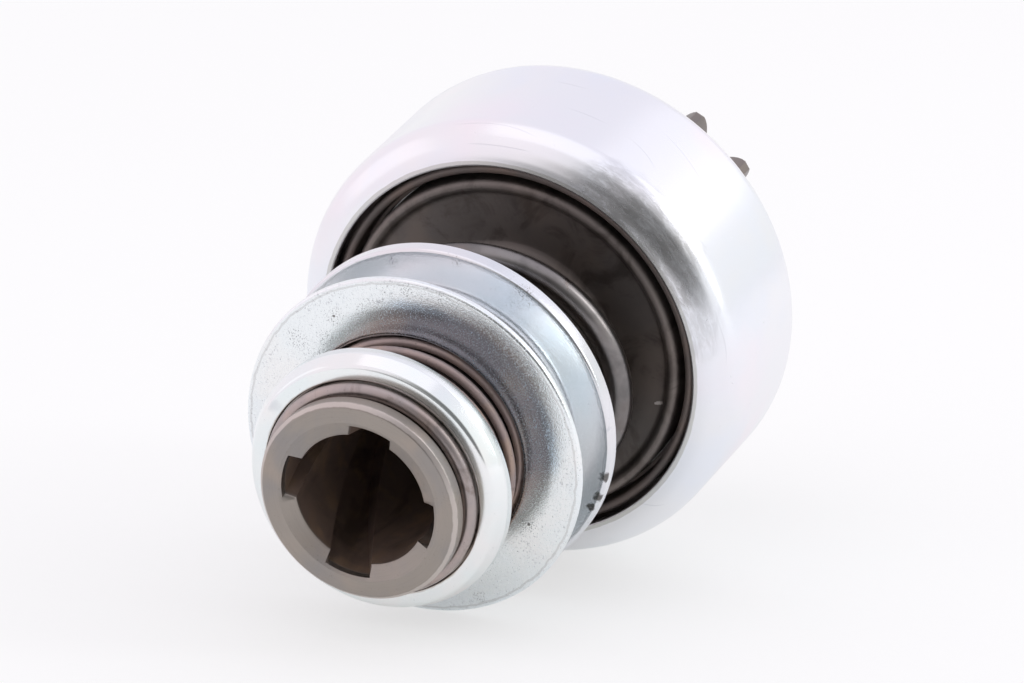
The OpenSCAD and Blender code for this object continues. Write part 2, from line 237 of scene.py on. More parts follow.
# where a point is on a turned piece: station along the axis, radius, angle, in millimetres and radians
axisPlace, given, gives = newGroup("axisPlace", [],
    [("Station", "Float"), ("Radius", "Float"), ("Angle", "Float")])
parts = put(axisPlace, "SeparateXYZ")
axisPlace.links.new(put(axisPlace, "TexCoord").outputs["Object"], parts.inputs[0])
feed(axisPlace, times(axisPlace, parts.outputs[0], 1 / mm), gives["Station"])
squares = plus(axisPlace, calc(axisPlace, "POWER", parts.outputs[1], 2.0),
    calc(axisPlace, "POWER", parts.outputs[2], 2.0))
feed(axisPlace, times(axisPlace, calc(axisPlace, "SQRT", squares), 1 / mm), gives["Radius"])
feed(axisPlace, calc(axisPlace, "ARCTAN2", parts.outputs[1], parts.outputs[2]), gives["Angle"])

# rings left by turning: noise that is fine across the tool's way and long along it
turnedMarks, given, gives = newGroup("turnedMarks", [("Pitch", "Float", 0.3), ("Stretch", "Float", 2.0)],
    [("Height", "Float"), ("Mask", "Float")])
here = useGroup(turnedMarks, axisPlace)
fine = packVector(turnedMarks, calc(turnedMarks, "DIVIDE", here["Station"], given["Pitch"]),
    calc(turnedMarks, "DIVIDE", here["Radius"], given["Pitch"]),
    times(turnedMarks, here["Angle"], given["Stretch"]))
ringHeight = noise(turnedMarks, fine, 1.0, 2.0, 0.6)
feed(turnedMarks, ringHeight, gives["Height"])
feed(turnedMarks, remap(turnedMarks, ringHeight, 0.45, 0.7), gives["Mask"])

# slow changes of tint over plating: a base colour that drifts towards two others
platingTint, given, gives = newGroup("platingTint", [("Base", "Color", (0.8, 0.82, 0.84, 1)),
    ("Cool", "Color", (0.75, 0.8, 0.88, 1)), ("Warm", "Color", (0.84, 0.8, 0.83, 1)),
    ("Scale", "Float", 60.0)], [("Color", "Color"), ("Cloud", "Float")])
spot = put(platingTint, "TexCoord").outputs["Object"]
cloud = noise(platingTint, spot, given["Scale"], 4.0, 0.6, 0.4)
drift = put(platingTint, "VectorMath", operation="ADD")
feed(platingTint, spot, drift.inputs[0])
feed(platingTint, (0.31, 0.17, 0.53), drift.inputs[1])   # far enough for a second, unrelated cloud
second = noise(platingTint, drift.outputs[0], given["Scale"], 3.0, 0.5, 0.2)
tint = blendColour(platingTint, remap(platingTint, cloud, 0.42, 0.66), given["Base"], given["Cool"])
tint = blendColour(platingTint, remap(platingTint, second, 0.48, 0.7), tint, given["Warm"])
feed(platingTint, tint, gives["Color"])
feed(platingTint, cloud, gives["Cloud"])

# small dark grains and pits, more of them as Amount grows
grains, given, gives = newGroup("grains", [("Scale", "Float", 900.0), ("Amount", "Float", 0.3)],
    [("Mask", "Float")])
spot = put(grains, "TexCoord").outputs["Object"]
dots = noise(grains, spot, given["Scale"], 2.0, 0.7)
patches = noise(grains, spot, times(grains, given["Scale"], 0.09), 2.0, 0.5)
level = minus(grains, 0.78, times(grains, times(grains, given["Amount"], patches), 0.6))
feed(grains, remap(grains, minus(grains, dots, level), 0.0, 0.06), gives["Mask"])

# thin stray scratches: the zero lines of a stretched noise
strayScratches, given, gives = newGroup("strayScratches",
    [("Scale", "Float", 160.0), ("Width", "Float", 0.006)], [("Mask", "Float")])
spot = put(strayScratches, "TexCoord").outputs["Object"]
turned = put(strayScratches, "Mapping")
feed(strayScratches, spot, turned.inputs["Vector"])
turned.inputs["Rotation"].default_value = (0.7, 0.4, 1.1)
turned.inputs["Scale"].default_value = (1.0, 0.22, 0.6)
lines = noise(strayScratches, turned.outputs[0], given["Scale"], 1.0, 0.4, 0.6)
away = calc(strayScratches, "ABSOLUTE", minus(strayScratches, lines, 0.5))
broken = noise(strayScratches, spot, times(strayScratches, given["Scale"], 0.8), 1.0)
holes = remap(strayScratches, broken, 0.52, 0.62)
thin = remap(strayScratches, away, 0.0, given["Width"], 1.0, 0.0)
feed(strayScratches, times(strayScratches, thin, holes), gives["Mask"])

# oil and dirt: brown blotches with runs along the axis
oilFilm, given, gives = newGroup("oilFilm", [("Scale", "Float", 120.0), ("Amount", "Float", 0.5)],
    [("Mask", "Float")])
spot = put(oilFilm, "TexCoord").outputs["Object"]
runs = put(oilFilm, "Mapping")
feed(oilFilm, spot, runs.inputs["Vector"])
runs.inputs["Scale"].default_value = (0.35, 1.0, 1.0)
blots = noise(oilFilm, runs.outputs[0], given["Scale"], 5.0, 0.62, 0.8)
edge = minus(oilFilm, 0.72, times(oilFilm, given["Amount"], 0.4))
feed(oilFilm, remap(oilFilm, minus(oilFilm, blots, edge), 0.0, 0.16), gives["Mask"])

# worn band: 1 inside a band of a measured value, broken up by noise at both sides
wornBand, given, gives = newGroup("wornBand", [("Value", "Float", 0.0), ("Middle", "Float", 0.0),
    ("Half", "Float", 1.0), ("Ragged", "Float", 0.5)], [("Mask", "Float")])
spot = put(wornBand, "TexCoord").outputs["Object"]
shake = times(wornBand, minus(wornBand, noise(wornBand, spot, 420.0, 4.0, 0.65), 0.5), given["Ragged"])
gap = calc(wornBand, "ABSOLUTE", minus(wornBand, plus(wornBand, given["Value"], shake), given["Middle"]))
share = calc(wornBand, "DIVIDE", gap, given["Half"])
feed(wornBand, remap(wornBand, share, 0.6, 1.0, 1.0, 0.0), gives["Mask"])

# zinc crystals: a fine even grain, and the few grains that glint
crystals, given, gives = newGroup("crystals", [("Scale", "Float", 4200.0)],
    [("Height", "Float"), ("Glint", "Float")])
facets = noise(crystals, put(crystals, "TexCoord").outputs["Object"], given["Scale"], 2.0, 0.6)
feed(crystals, facets, gives["Height"])
feed(crystals, remap(crystals, facets, 0.57, 0.66), gives["Glint"])

# ragged spot: 1 round a place given in millimetres, 0 beyond its reach
ragSpot, given, gives = newGroup("ragSpot", [("Place", "Vector", (0, 0, 0)), ("Reach", "Float", 1.0),
    ("Ragged", "Float", 0.9), ("Grain", "Float", 1500.0)], [("Mask", "Float")])
spot = put(ragSpot, "TexCoord").outputs["Object"]
measured = put(ragSpot, "VectorMath", operation="SCALE")
feed(ragSpot, spot, measured.inputs[0])
measured.inputs["Scale"].default_value = 1 / mm
far = put(ragSpot, "VectorMath", operation="DISTANCE")
feed(ragSpot, measured.outputs[0], far.inputs[0])
feed(ragSpot, given["Place"], far.inputs[1])
shake = times(ragSpot, minus(ragSpot, noise(ragSpot, spot, given["Grain"], 3.0, 0.6), 0.5),
    given["Ragged"])
near = plus(ragSpot, calc(ragSpot, "DIVIDE", far.outputs["Value"], given["Reach"]), shake)
feed(ragSpot, remap(ragSpot, near, 0.5, 1.0, 1.0, 0.0), gives["Mask"])

# pits: fine dark dots inside a patch
pitPatch, given, gives = newGroup("pitPatch", [("Place", "Vector", (0, 0, 0)), ("Reach", "Float", 2.0),
    ("Scale", "Float", 5200.0)], [("Mask", "Float")])
patch = useGroup(pitPatch, ragSpot, Place=given["Place"], Reach=given["Reach"], Ragged=1.3,
    Grain=450.0)["Mask"]
dots = noise(pitPatch, put(pitPatch, "TexCoord").outputs["Object"], given["Scale"], 1.0, 0.5)
feed(pitPatch, times(pitPatch, patch, remap(pitPatch, dots, 0.58, 0.67)), gives["Mask"])

# smudges from handling, also used as painted shade: streaks that run round the axis, inside a patch
smearsAndShade, given, gives = newGroup("smearsAndShade", [("Place", "Vector", (0, 0, 0)), ("Reach", "Float", 14.0),
    ("Scale", "Float", 1.7)], [("Mask", "Float")])
patch = useGroup(smearsAndShade, ragSpot, Place=given["Place"], Reach=given["Reach"], Ragged=1.2,
    Grain=90.0)["Mask"]
here = useGroup(smearsAndShade, axisPlace)
flow = packVector(smearsAndShade, here["Station"], here["Radius"], times(smearsAndShade, here["Angle"], 9.0))
streaks = remap(smearsAndShade, noise(smearsAndShade, flow, given["Scale"], 5.0, 0.7, 0.5), 0.26, 0.62)
feed(smearsAndShade, times(smearsAndShade, patch, streaks), gives["Mask"])
print("shared effects ready")


def newMaterial(name, metallic=1.0):
    material = bpy.data.materials.new(name)
    material.use_nodes = True
    tree = material.node_tree
    shader = tree.nodes["Principled BSDF"]
    shader.inputs["Metallic"].default_value = metallic
    return material, tree, shader


def setBump(tree, shader, height, strength, distance):
    bump = put(tree, "Bump")
    bump.inputs["Strength"].default_value = strength
    bump.inputs["Distance"].default_value = distance
    feed(tree, height, bump.inputs["Height"])
    tree.links.new(bump.outputs[0], shader.inputs["Normal"])


def driftTint(tree, look):
    return useGroup(tree, platingTint, Base=look["base"], Cool=look["cool"], Warm=look["warm"],
        Scale=look["cloudScale"])


# how strongly the marks show on every plated piece
platingMix = {"scratch": 0.5, "tintRagged": 0.4, "tintGrain": 150.0, "tintBandRagged": 1.0,
    "tintDepth": 1.2, "grainRough": 0.2, "smearRough": 0.05, "nickRagged": 1.5, "nick": 0.85, "pit": 0.8, "grainDepth": 0.35,
    "scratchDepth": 0.3, "bumpHeight": 0.00006}


def zincPlating(name, look, mix=platingMix):
    # bright zinc on pressed steel: drifting tints, rings, crystals, grey grains, smudges, nicks and pits; the
    # smudges, some bands and the spot tints also paint shade and reflection colour
    material, tree, shader = newMaterial(name)
    tint = driftTint(tree, look)
    marks = useGroup(tree, turnedMarks, Pitch=look["ringPitch"], Stretch=look["ringStretch"])
    grain = useGroup(tree, grains, Scale=look["grainScale"], Amount=look["grainAmount"])["Mask"]
    scratch = useGroup(tree, strayScratches, Scale=look["scratchScale"], Width=look["scratchWidth"])["Mask"]
    place = useGroup(tree, axisPlace)
    colour = blendColour(tree, times(tree, grain, look["grainDark"]), tint["Color"], look["grainColour"])
    colour = blendColour(tree, times(tree, scratch, mix["scratch"]), colour, look["scratchColour"])
    for label, middle, half, ragged, amount, shade in look["bands"]:
        band = useGroup(tree, wornBand, Value=place[label], Middle=middle, Half=half, Ragged=ragged)["Mask"]
        colour = blendColour(tree, times(tree, band, amount), colour, shade)
    # spot tints: a colour laid on a patch, in a band of radius near the face's station; on the front flange a
    # painted reflection colour
    for centre, reach, middle, half, amount, shade in look["tints"]:
        spot = useGroup(tree, ragSpot, Place=centre, Reach=reach, Ragged=mix["tintRagged"],
            Grain=mix["tintGrain"])["Mask"]
        band = useGroup(tree, wornBand, Value=place["Radius"], Middle=middle, Half=half,
            Ragged=mix["tintBandRagged"])["Mask"]
        face = useGroup(tree, wornBand, Value=place["Station"], Middle=centre[0], Half=mix["tintDepth"],
            Ragged=0.0)["Mask"]
        mask = times(tree, times(tree, spot, band), times(tree, face, amount))
        colour = blendColour(tree, mask, colour, shade)
    rough = plus(tree, look["rough"], times(tree, tint["Cloud"], look["roughSwing"]))
    rough = plus(tree, rough, times(tree, grain, mix["grainRough"]))
    # smudge patches darken the colour: handling marks, and on the shell lip also painted shade
    for centre, reach, amount in look["smearsAndShade"]:
        smearShade = times(tree, useGroup(tree, smearsAndShade, Place=centre, Reach=reach)["Mask"], amount)
        colour = blendColour(tree, smearShade, colour, look["smearAndShadeColour"])
        rough = plus(tree, rough, times(tree, smearShade, mix["smearRough"]))
    for centre, reach in look["nicks"]:
        nick = useGroup(tree, ragSpot, Place=centre, Reach=reach, Ragged=mix["nickRagged"])["Mask"]
        colour = blendColour(tree, times(tree, nick, mix["nick"]), colour, look["nickColour"])
    for centre, reach in look["pits"]:
        pit = useGroup(tree, pitPatch, Place=centre, Reach=reach)["Mask"]
        colour = blendColour(tree, times(tree, pit, mix["pit"]), colour, look["nickColour"])
    facet = useGroup(tree, crystals, Scale=look["crystalScale"])
    glint = times(tree, facet["Glint"], look["glint"])
    rough = plus(tree, rough, glint)
    colour = blendColour(tree, glint, colour, look["glintColour"])
    tree.links.new(colour, shader.inputs["Base Color"])
    feed(tree, rough, shader.inputs["Roughness"])
    height = minus(tree, times(tree, marks["Height"], look["ringDepth"]),
        plus(tree, times(tree, grain, mix["grainDepth"]), times(tree, scratch, mix["scratchDepth"])))
    height = plus(tree, height, times(tree, facet["Height"], look["crystalDepth"]))
    setBump(tree, shader, height, look["bump"], mix["bumpHeight"])
    return material


wireMix = {"pit": 0.6, "oilGloss": 0.08, "bumpHeight": 0.00005}


def wireFinish(name, look, mix=wireMix):
    # drawn or forged steel: a base colour with brown or grey blotches and fine pits
    material, tree, shader = newMaterial(name, look["metallic"])
    tint = driftTint(tree, look)
    grain = useGroup(tree, grains, Scale=look["grainScale"], Amount=look["grainAmount"])["Mask"]
    oil = useGroup(tree, oilFilm, Scale=look["oilScale"], Amount=look["oilAmount"])["Mask"]
    colour = blendColour(tree, times(tree, grain, mix["pit"]), tint["Color"], look["pit"])
    colour = blendColour(tree, times(tree, oil, look["oilDark"]), colour, look["oil"])
    tree.links.new(colour, shader.inputs["Base Color"])
    rough = plus(tree, look["rough"], times(tree, tint["Cloud"], look["roughSwing"]))
    feed(tree, minus(tree, rough, times(tree, oil, mix["oilGloss"])), shader.inputs["Roughness"])
    setBump(tree, shader, minus(tree, tint["Cloud"], grain), look["bump"], mix["bumpHeight"])
    return material


# Clutch shell: deep-drawn plated can with its front lip rolled in over the closing ring
shellShape = {"corners": [(29.0, 51.95), (31.3, 52.6), (34.4, 55.6), (34.4, 80.0), (19.1, 80.0),
        (19.1, 78.1), (32.5, 78.1), (32.5, 54.1), (29.0, 54.1)],
    "radii": [0.3, 4.5, 5.0, 3.4, 0.5, 0.4, 1.6, 2.7, 0.6], "steps": 14, "columns": 256}
shellLook = {"base": (0.89, 0.9, 0.92, 1), "cool": (0.86, 0.89, 0.94, 1), "warm": (0.92, 0.88, 0.92, 1),
    "cloudScale": 42.0, "ringPitch": 0.5, "ringStretch": 1.5, "ringDepth": 0.35, "grainScale": 2600.0,
    "grainAmount": 0.25, "grainDark": 0.3, "grainColour": (0.5, 0.52, 0.55, 1), "scratchScale": 70.0,
    "scratchWidth": 0.004, "scratchColour": (0.6, 0.62, 0.66, 1), "rough": 0.18, "roughSwing": 0.12,
    "bump": 0.12, "crystalScale": 3200.0, "crystalDepth": 0.3,
    # olive-dark ring round the lip's inner edge: painted shade
    "bands": [("Radius", 29.5, 0.4, 0.3, 0.5, (0.4, 0.39, 0.33, 1))],
    "smearAndShadeColour": (0.4, 0.395, 0.39, 1), "glint": 0.0, "glintColour": (0.85, 0.94, 1.0, 1),
    # smudges on the lip's upper right: partly handling marks, partly painted shade where the lip reflects dark
    # surroundings
    "smearsAndShade": [((52.4, -17.5, 25.0), 7.0, 0.6), ((52.4, -22.0, 21.0), 7.0, 0.64),
        ((52.4, -26.5, 15.0), 7.5, 0.6), ((52.0, -29.0, 7.0), 6.5, 0.3)],
    "nickColour": (0.06, 0.05, 0.04, 1), "nicks": [], "pits": [], "tints": []}
shell = turnedPiece("shell_can", **shellShape)
finishPiece(shell, "driver", "zinc_plate", zincPlating("shellZinc", shellLook), "clutch_shell")

# Stop cup: small plated cup on the lock ring
cupShape = {"corners": [(16.5, 5.05), (18.7, 5.05), (19.7, 7.3), (19.7, 9.35), (18.4, 9.35), (18.4, 7.55),
        (15.3, 7.55), (15.3, 5.8), (16.5, 5.8)],
    "radii": [0.2, 0.9, 1.0, 0.3, 0.25, 0.4, 0.2, 0.1, 0.1], "steps": 6}
cupLook = dict(shellLook, base=(0.88, 0.91, 0.9, 1), cool=(0.85, 0.91, 0.91, 1), warm=(0.91, 0.91, 0.9, 1),
    cloudScale=90.0, ringPitch=0.35, grainAmount=0.3, rough=0.12, roughSwing=0.1, smearsAndShade=[],
    # brown ring at the hole's edge beside the lock ring: painted reflection and shade of the lock ring
    bands=[("Radius", 16.4, 0.45, 0.5, 0.55, (0.42, 0.36, 0.3, 1))])
cup = turnedPiece("stop_cup_pressing", **cupShape)
finishPiece(cup, "driver", "zinc_plate", zincPlating("cupZinc", cupLook), "stop_cup")

# Spool: thin front flange with its hub tube, and a thicker rear flange with a dished face
frontShape = {"corners": [(17.2, 18.4), (21.5, 18.44), (26.0, 18.68), (26.0, 20.0), (18.7, 20.0),
        (18.7, 31.8), (17.2, 31.8)], "radii": [0.7, 20.0, 0.45, 0.5, 1.5, 0.25, 0.25], "steps": 8}
frontLook = dict(shellLook, base=(0.89, 0.93, 0.935, 1), cool=(0.87, 0.92, 0.945, 1),
    warm=(0.92, 0.93, 0.92, 1), cloudScale=75.0, ringPitch=0.28, ringStretch=3.0, ringDepth=0.3,
    grainScale=2400.0, grainAmount=0.5, grainDark=0.5, rough=0.1, roughSwing=0.08, scratchScale=110.0,
    bump=0.3, crystalScale=5200.0, crystalDepth=1.2, glint=0.36, smearsAndShade=[],
    bands=[("Radius", 25.3, 0.2, 0.9, 0.35, (0.45, 0.44, 0.43, 1))],
    pits=[((18.5, 10.33, 19.34), 1.8), ((18.5, 11.91, 16.04), 1.6), ((18.5, -17.35, -10.02), 2.2),
        ((18.5, 4.5, 21.0), 2.4), ((18.5, -1.47, 24.66), 1.4), ((18.5, -8.41, -22.72), 1.2),
        ((18.5, 16.5, 15.0), 2.0)],
    nicks=[((18.5, 10.33, 19.34), 0.3), ((18.5, -17.35, -10.02), 0.35)],
    # bluish patches over the face zone that mirrors the shaded spring: painted reflection colour
    tints=[((18.2, -8.5, 18.5), 13.0, 19.5, 4.2, 0.9, (0.71, 0.86, 0.99, 1)),
        ((18.2, -17.0, 8.0), 13.0, 19.5, 4.2, 0.9, (0.71, 0.86, 0.99, 1))])
spoolFront = turnedPiece("spool_front_pressing", **frontShape)
finishPiece(spoolFront, "spool", "zinc_plate", zincPlating("spoolFrontZinc", frontLook),
    "spool_front_flange")

rearShape = {"corners": [(18.7, 26.6), (19.0, 29.5), (26.0, 29.1), (26.0, 31.8), (18.7, 31.8)],
    "radii": [0.05, 2.3, 0.5, 0.4, 0.1], "steps": 8}
rearLook = dict(frontLook, base=(0.8, 0.81, 0.835, 1), cool=(0.75, 0.785, 0.82, 1),
    warm=(0.82, 0.81, 0.83, 1), grainAmount=0.35, cloudScale=60.0, crystalDepth=1.0, glint=0.06, tints=[],
    bands=[("Radius", 25.3, 0.25, 1.0, 0.35, (0.45, 0.45, 0.46, 1))],
    pits=[((29.19, 5.65, 23.52), 1.2), ((29.14, -4.34, 24.61), 1.2), ((29.2, -14.0, 20.0), 2.5)],
    nicks=[((29.14, -24.83, -6.89), 1.05), ((29.11, -23.43, -10.09), 0.95), ((29.13, -22.18, -11.79), 0.8)])
spoolRear = turnedPiece("spool_rear_ring", **rearShape)
finishPiece(spoolRear, "spool", "zinc_plate", zincPlating("spoolRearZinc", rearLook), "spool_rear_flange")
print("plated pieces ready")

# Splined sleeve: turned forging with the driver disc; helical grooves in the bore
sleeveShape = {"corners": [(12.3, 0.0), (14.6, 0.0), (15.2, 0.6), (15.2, 2.6), (14.1, 2.6), (14.1, 5.9),
        (15.2, 5.9), (15.2, 54.3), (24.05, 54.3), (24.75, 53.2), (26.3, 53.2), (26.3, 62.0), (10.0, 62.0),
        (10.0, 1.0)],
    "radii": [0.12, 0.3, 0.3, 0.2, 0.2, 0.2, 0.15, 1.6, 0.8, 0.9, 0.9, 0.4, 0.6, 0.15], "steps": 6,
    "longest": 1.6, "bore": 10.0, "grooves": 4, "grooveFloor": 11.7, "grooveWidth": 6.4, "lead": 150.0,
    "phase": 11.6, "floorColumns": 13, "landColumns": 25, "sharp": 32}


def sleeveGrid(shape):
    # P(u, c) turned by 2 pi x / lead: radius = the profile's, or the floor's in a groove's columns
    profile = fillIn(roundCorners(shape["corners"], shape["radii"], shape["steps"]), shape["longest"])
    wall = math.asin(shape["grooveWidth"] / 2 / shape["grooveFloor"])
    lip = math.asin(shape["grooveWidth"] / 2 / shape["bore"])
    half = math.pi / shape["grooves"]
    one = np.concatenate([np.linspace(-wall, wall, shape["floorColumns"]),
        np.linspace(lip, 2 * half - lip, shape["landColumns"])])
    inFloor = np.concatenate([np.ones(shape["floorColumns"]), np.zeros(shape["landColumns"])])
    angle = (one[None, :] + 2 * half * np.arange(shape["grooves"])[:, None]).reshape(1, -1)
    inFloor = np.tile(inFloor, shape["grooves"])[None, :]
    radius, station = profile[:, 0:1], profile[:, 1:2]
    inBore = radius < shape["grooveFloor"]
    depth = np.where(inBore & (inFloor > 0), shape["grooveFloor"], radius)
    turn = math.radians(shape["phase"]) + angle + 2 * np.pi * station / shape["lead"]
    return around(station + 0 * angle, depth, turn), len(profile), angle.shape[1]


def sleeveSteel(look):
    # station and radius choose the zone: turned end, oily bore, dark forged disc; lighter bands on the disc's rim
    # and the end's outer edge are partly wear, partly painted highlight
    material, tree, shader = newMaterial("sleeveSteel")
    place = useGroup(tree, axisPlace)

    def zoneTint(zone):
        return useGroup(tree, platingTint, Base=look[zone], Cool=look[zone + "Cool"],
            Warm=look[zone + "Warm"], Scale=look[zone + "Scale"])

    tint, discTint, boreTint = zoneTint("end"), zoneTint("disc"), zoneTint("bore")
    marks = useGroup(tree, turnedMarks, Pitch=look["ringPitch"], Stretch=look["ringStretch"])
    grain = useGroup(tree, grains, Scale=look["grainScale"], Amount=look["grainAmount"])["Mask"]
    oil = useGroup(tree, oilFilm, Scale=look["oilScale"], Amount=look["oilAmount"])["Mask"]
    toDisc = remap(tree, place["Station"], *look["discFrom"])
    inBore = times(tree, remap(tree, place["Radius"], *look["boreWall"]),
        remap(tree, place["Station"], *look["boreMouth"]))
    colour = blendColour(tree, toDisc, tint["Color"], discTint["Color"])
    colour = blendColour(tree, times(tree, grain, look["grainBlend"]), colour, look["grain"])
    rings = remap(tree, place["Station"], *look["ringFade"])
    colour = blendColour(tree, times(tree, marks["Mask"], rings), colour, look["ring"])
    colour = blendColour(tree, inBore, colour, boreTint["Color"])
    # lighter band on the disc's rim: partly wear, partly painted highlight
    rim = useGroup(tree, wornBand, Value=place["Radius"], **look["rimBand"])["Mask"]
    rim = times(tree, rim, remap(tree, place["Station"], *look["rimBack"]))
    colour = blendColour(tree, times(tree, rim, look["rimWearAndSheenBlend"]), colour, look["rim"])
    # bright band on the end's outer chamfer: partly wear, partly painted highlight
    edge = useGroup(tree, wornBand, Value=place["Radius"], **look["edgeBand"])["Mask"]
    edge = times(tree, edge, remap(tree, place["Station"], *look["edgeBack"]))
    colour = blendColour(tree, times(tree, edge, look["edgeWearAndSheenBlend"]), colour, look["edge"])
    for centre, reach in look["scrapes"]:
        scrape = useGroup(tree, ragSpot, Place=centre, Reach=reach)["Mask"]
        colour = blendColour(tree, scrape, colour, look["scratch"])
    dirt = times(tree, oil, plus(tree, times(tree, toDisc, look["discDirt"]),
        times(tree, inBore, look["boreDirt"])), clamp=True)
    colour = blendColour(tree, dirt, colour, look["oil"])
    tree.links.new(colour, shader.inputs["Base Color"])
    rough = plus(tree, look["rough"], times(tree, tint["Cloud"], look["roughSwing"]))
    rough = plus(tree, rough, times(tree, toDisc, look["discRough"]))
    rough = minus(tree, rough, times(tree, dirt, look["oilGloss"]))
    feed(tree, rough, shader.inputs["Roughness"])
    feed(tree, minus(tree, 1.0, times(tree, inBore, look["boreDull"])), shader.inputs["Metallic"])
    height = times(tree, marks["Height"], times(tree, rings, look["ringDepth"]))
    height = minus(tree, height, times(tree, grain, look["grainDepth"]))
    setBump(tree, shader, height, look["bump"], look["bumpHeight"])
    return material


sleeveLook = {"end": (0.36, 0.325, 0.29, 1), "endCool": (0.33, 0.31, 0.295, 1),
    "endWarm": (0.4, 0.345, 0.3, 1), "endScale": 95.0,
    "disc": (0.19, 0.168, 0.155, 1), "discCool": (0.165, 0.15, 0.142, 1),
    "discWarm": (0.21, 0.178, 0.158, 1), "discScale": 70.0,
    "bore": (0.19, 0.135, 0.105, 1), "boreCool": (0.16, 0.115, 0.092, 1),
    "boreWarm": (0.24, 0.165, 0.11, 1), "boreScale": 210.0,
    "grain": (0.2, 0.18, 0.16, 1), "grainScale": 2600.0, "grainAmount": 0.45, "grainBlend": 0.3,
    "ring": (0.28, 0.255, 0.235, 1), "ringPitch": 0.22, "ringStretch": 2.5,
    "ringFade": (50.0, 54.0, 0.18, 0.03), "discFrom": (5.2, 7.0), "boreWall": (12.4, 11.9), "boreMouth": (0.8, 1.5),
    # rim: partly wear, partly painted highlight on the disc's rounded rim
    "rim": (0.34, 0.3, 0.28, 1), "rimBand": {"Middle": 25.7, "Half": 0.7, "Ragged": 0.4},
    "rimBack": (54.6, 53.9), "rimWearAndSheenBlend": 0.5,
    # edge: bright outer chamfer of the end, partly wear, partly painted highlight
    "edge": (0.7, 0.64, 0.6, 1), "edgeBand": {"Middle": 14.95, "Half": 0.32, "Ragged": 0.4},
    "edgeBack": (1.0, 0.6), "edgeWearAndSheenBlend": 0.6,
    "oil": (0.03, 0.02, 0.014, 1), "oilScale": 150.0, "oilAmount": 0.62, "oilGloss": 0.2,
    "discDirt": 0.35, "boreDirt": 0.2, "rough": 0.36, "roughSwing": 0.16, "discRough": 0.14,
    "boreDull": 0.75, "ringDepth": 3.3, "grainDepth": 0.4, "bump": 0.2, "bumpHeight": 0.00006,
    "scratch": (0.6, 0.56, 0.53, 1),
    "scrapes": [((54.3, -21.9, -7.06), 0.26), ((54.3, -22.25, -6.97), 0.34), ((54.3, -22.6, -6.9), 0.36),
        ((54.3, -22.95, -6.83), 0.34), ((54.3, -23.3, -6.78), 0.26)]}
sleevePoints, sleeveRows, sleeveColumns = sleeveGrid(sleeveShape)
sleeve = makePiece("sleeve_forging", sleevePoints, gridFaces(sleeveRows, sleeveColumns),
    sharp=sleeveShape["sharp"])
finishPiece(sleeve, "driver", "dark_steel", sleeveSteel(sleeveLook), "splined_sleeve")

# Lock ring: split ring of round wire
lockShape = {"mean": 15.2, "wire": 1.1, "station": 4.7, "from": 20.0, "to": 370.0, "rows": 176}
lockLook = {"base": (0.46, 0.395, 0.375, 1), "cool": (0.41, 0.365, 0.355, 1), "warm": (0.5, 0.415, 0.38, 1),
    "cloudScale": 160.0, "grainScale": 2600.0, "grainAmount": 0.4, "oilScale": 240.0, "oilAmount": 0.45,
    "oilDark": 0.5, "pit": (0.2, 0.17, 0.15, 1), "oil": (0.16, 0.12, 0.1, 1), "rough": 0.28,
    "roughSwing": 0.16, "bump": 0.15, "metallic": 0.9}
lockAngle = np.radians(np.linspace(lockShape["from"], lockShape["to"], lockShape["rows"]))
lockRing = wirePiece("lock_wire_ring", lockShape["mean"], lockShape["wire"], lockAngle,
    np.full(lockShape["rows"], lockShape["station"]))
finishPiece(lockRing, "driver", "spring_steel", wireFinish("lockWire", lockLook), "lock_ring")

# Closing ring: flat ring with a rounded bead, just inside the shell's lip
closingShape = {"corners": [(26.5, 59.4), (26.5, 57.6), (27.18, 57.6), (27.18, 53.5), (28.55, 53.5),
        (28.55, 57.6), (32.3, 57.6), (32.3, 59.4)],
    "radii": [0.1, 0.1, 0.3, 0.67, 0.67, 0.3, 0.15, 0.1], "steps": 8}
closingLook = dict(lockLook, base=(0.2, 0.165, 0.15, 1), cool=(0.17, 0.15, 0.14, 1),
    warm=(0.23, 0.18, 0.155, 1), oilAmount=0.35, cloudScale=110.0, rough=0.42, metallic=0.6)
closing = turnedPiece("closing_bead_ring", **closingShape)
finishPiece(closing, "driver", "brown_steel", wireFinish("closingSteel", closingLook), "closing_ring")

# Return spring: small brown coil, closed at both ends, between the cup and the spool's guide bush
returnShape = {"mean": 16.2, "wire": 0.7, "phase": 187.0, "turns": 5.4, "from": 8.3, "to": 28.05,
    "closedRise": 1.45, "sides": 14}
returnLook = dict(lockLook, base=(0.45, 0.355, 0.33, 1), cool=(0.39, 0.32, 0.305, 1),
    warm=(0.5, 0.375, 0.31, 1), oilAmount=0.4, rough=0.36, metallic=0.45)


def closedCoil(shape, step=6.0):
    # station = straight lines of the turn count: a closed turn, the working turns, a closed turn
    turns = shape["turns"] + 2
    count = np.arange(0, turns * 360 + 0.5 * step, step) / 360
    low, high, close = shape["from"], shape["to"], shape["closedRise"]
    station = np.interp(count, [0, 1, turns - 1, turns], [low, low + close, high - close, high])
    return np.radians(shape["phase"] + 360 * count), station


returnAngle, returnStation = closedCoil(returnShape)
returnCoil = wirePiece("return_coil", returnShape["mean"], returnShape["wire"], returnAngle, returnStation,
    returnShape["sides"])
finishPiece(returnCoil, None, "brown_spring", wireFinish("returnWire", returnLook), "return_spring")
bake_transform(returnCoil)

